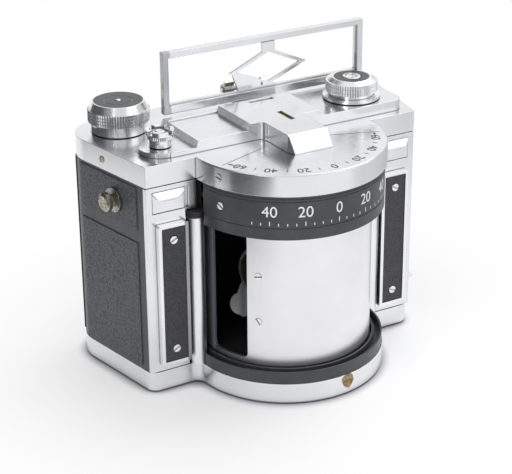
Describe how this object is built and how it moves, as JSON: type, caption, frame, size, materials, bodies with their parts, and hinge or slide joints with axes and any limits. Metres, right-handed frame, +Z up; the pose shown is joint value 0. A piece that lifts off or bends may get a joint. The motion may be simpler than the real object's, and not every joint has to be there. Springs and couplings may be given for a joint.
{
  "type": "panoramic camera",
  "caption": "Panoramic roll-film camera with a swinging lens drum, folding frame finder, knurled knobs, finger catches and a pull-off back.",
  "frame": {"origin": "mouth of the tripod socket in the base, on the drum's swing axis", "axes": "+Z up along the drum axis, -Y the way the camera faces, +X to the right as seen from the front"},
  "size_m": [0.163, 0.1121, 0.145],
  "materials": {
    "satin_chrome": "satin chrome",
    "polished_chrome": "polished",
    "drum_silver": "satin turned",
    "steel": "turned",
    "brass": "turned",
    "old_nickel": "worn nickel plating",
    "black_paint": "semi-matt black",
    "black_band": "satin black",
    "black_disc": "black enamel",
    "leatherette": "fine grained leatherette",
    "level_glass": "clear with fluid",
    "lens_glass": "coated"
  },
  "bodies": {
    "body": {"base_plate": "satin_chrome", "tripod_bush": "steel", "body_shell": "black_paint", "top_cover": "satin_chrome", "top_housing": "satin_chrome", "level_vials": "level_glass", "front_plate_l": "satin_chrome", "front_plate_r": "satin_chrome", "bezels": "polished_chrome", "front_leather": "leatherette", "case_screws": "steel", "columns": "polished_chrome", "column_caps": "black_paint", "lower_ring": "black_band", "upper_band": "black_band", "side_leather_upper": "leatherette", "side_leather_lower": "leatherette", "strap_studs": "old_nickel", "side_tab": "satin_chrome", "film_gate": "black_paint", "roller_pins": "steel", "spool_pins": "steel", "drum_bushes": "brass", "bridge": "brass", "mainspring_can": "brass", "release_tube": "steel", "finder_block": "satin_chrome", "finder_pin": "steel"},
    "drum": {"drum_shell": "drum_silver", "drum_base": "black_paint", "drum_top": "black_paint", "drum_gear": "brass", "drum_screws": "steel", "lens_board": "black_paint", "lens_barrel": "black_paint", "lens_glass": "lens_glass", "slit_horn": "black_paint"},
    "aperture": {"aperture_ring": "black_paint", "aperture_lever": "steel"},
    "setting": {"setting_knob": "polished_chrome", "setting_disc": "black_disc", "setting_shaft": "brass"},
    "governor": {"governor": "brass"},
    "wind": {"wind_knob": "polished_chrome", "wind_disc": "black_disc", "wind_shaft": "steel", "take_up_spool": "black_disc"},
    "release": {"release_button": "polished_chrome"},
    "collar": {"release_collar": "polished_chrome"},
    "finder": {"finder_frame": "satin_chrome", "finder_sight": "satin_chrome"},
    "wing": {"finder_wing": "old_nickel"},
    "back": {"back_cover": "black_paint", "back_leather": "leatherette", "pressure_plate": "black_paint"},
    "catch_left": {"catch_l": "satin_chrome"},
    "catch_right": {"catch_r": "satin_chrome"},
    "roller_left": {"roller_l": "steel"},
    "roller_right": {"roller_r": "steel"}
  },
  "joints": [
    {"name": "drum_swing", "type": "hinge", "parent": "body", "child": "drum", "pos_m": [0, 0, 0.049], "axis": [0, 0, 1], "range_deg": [0, 143]},
    {"name": "aperture_turn", "type": "hinge", "parent": "drum", "child": "aperture", "pos_m": [0, 0, 0.049], "axis": [-0.9483, -0.3173, 0], "range_deg": [-40, 30]},
    {"name": "setting_turn", "type": "hinge", "parent": "body", "child": "setting", "pos_m": [0.048, 0.02, 0.115], "axis": [0, 0, 1], "range_deg": [-429, 0]},
    {"name": "governor_spin", "type": "hinge", "parent": "body", "child": "governor", "pos_m": [-0.03021, 0.036, 0.09], "axis": [0, 0, 1], "range_deg": [-698, 0]},
    {"name": "wind_turn", "type": "hinge", "parent": "body", "child": "wind", "pos_m": [-0.0585, 0.0484, 0.1], "axis": [0, 0, 1], "continuous": true},
    {"name": "release_press", "type": "slide", "parent": "body", "child": "release", "axis": [0, 0, -1], "range_m": [0, 0.0025], "stiffness_N_per_m": 500},
    {"name": "collar_turn", "type": "hinge", "parent": "body", "child": "collar", "pos_m": [-0.055, 0.0146, 0.115], "axis": [0, 0, 1], "range_deg": [0, 60]},
    {"name": "finder_fold", "type": "hinge", "parent": "body", "child": "finder", "pos_m": [0.0129, 0.047, 0.1195], "axis": [-1, 0, 0], "range_deg": [0, 90]},
    {"name": "wing_turn", "type": "hinge", "parent": "body", "child": "wing", "pos_m": [-0.002, 0.047, 0.1195], "axis": [1, 0, 0], "continuous": true},
    {"name": "back_pull", "type": "slide", "parent": "body", "child": "back", "axis": [0, 1, 0], "range_m": [0, 0.05]},
    {"name": "catch_left_slide", "type": "slide", "parent": "body", "child": "catch_left", "axis": [1, 0, 0], "range_m": [0, 0.002]},
    {"name": "catch_right_slide", "type": "slide", "parent": "body", "child": "catch_right", "axis": [-1, 0, 0], "range_m": [0, 0.002]},
    {"name": "roller_left_spin", "type": "hinge", "parent": "body", "child": "roller_left", "pos_m": [-0.05448, 0.01298, 0.049], "axis": [0, 0, 1], "continuous": true},
    {"name": "roller_right_spin", "type": "hinge", "parent": "body", "child": "roller_right", "pos_m": [0.05448, 0.01298, 0.049], "axis": [0, 0, 1], "continuous": true}
  ],
  "couplings": [
    {"joint": "setting_turn", "follows": "drum_swing", "ratio": -3},
    {"joint": "governor_spin", "follows": "drum_swing", "ratio": -4.875}
  ]
}
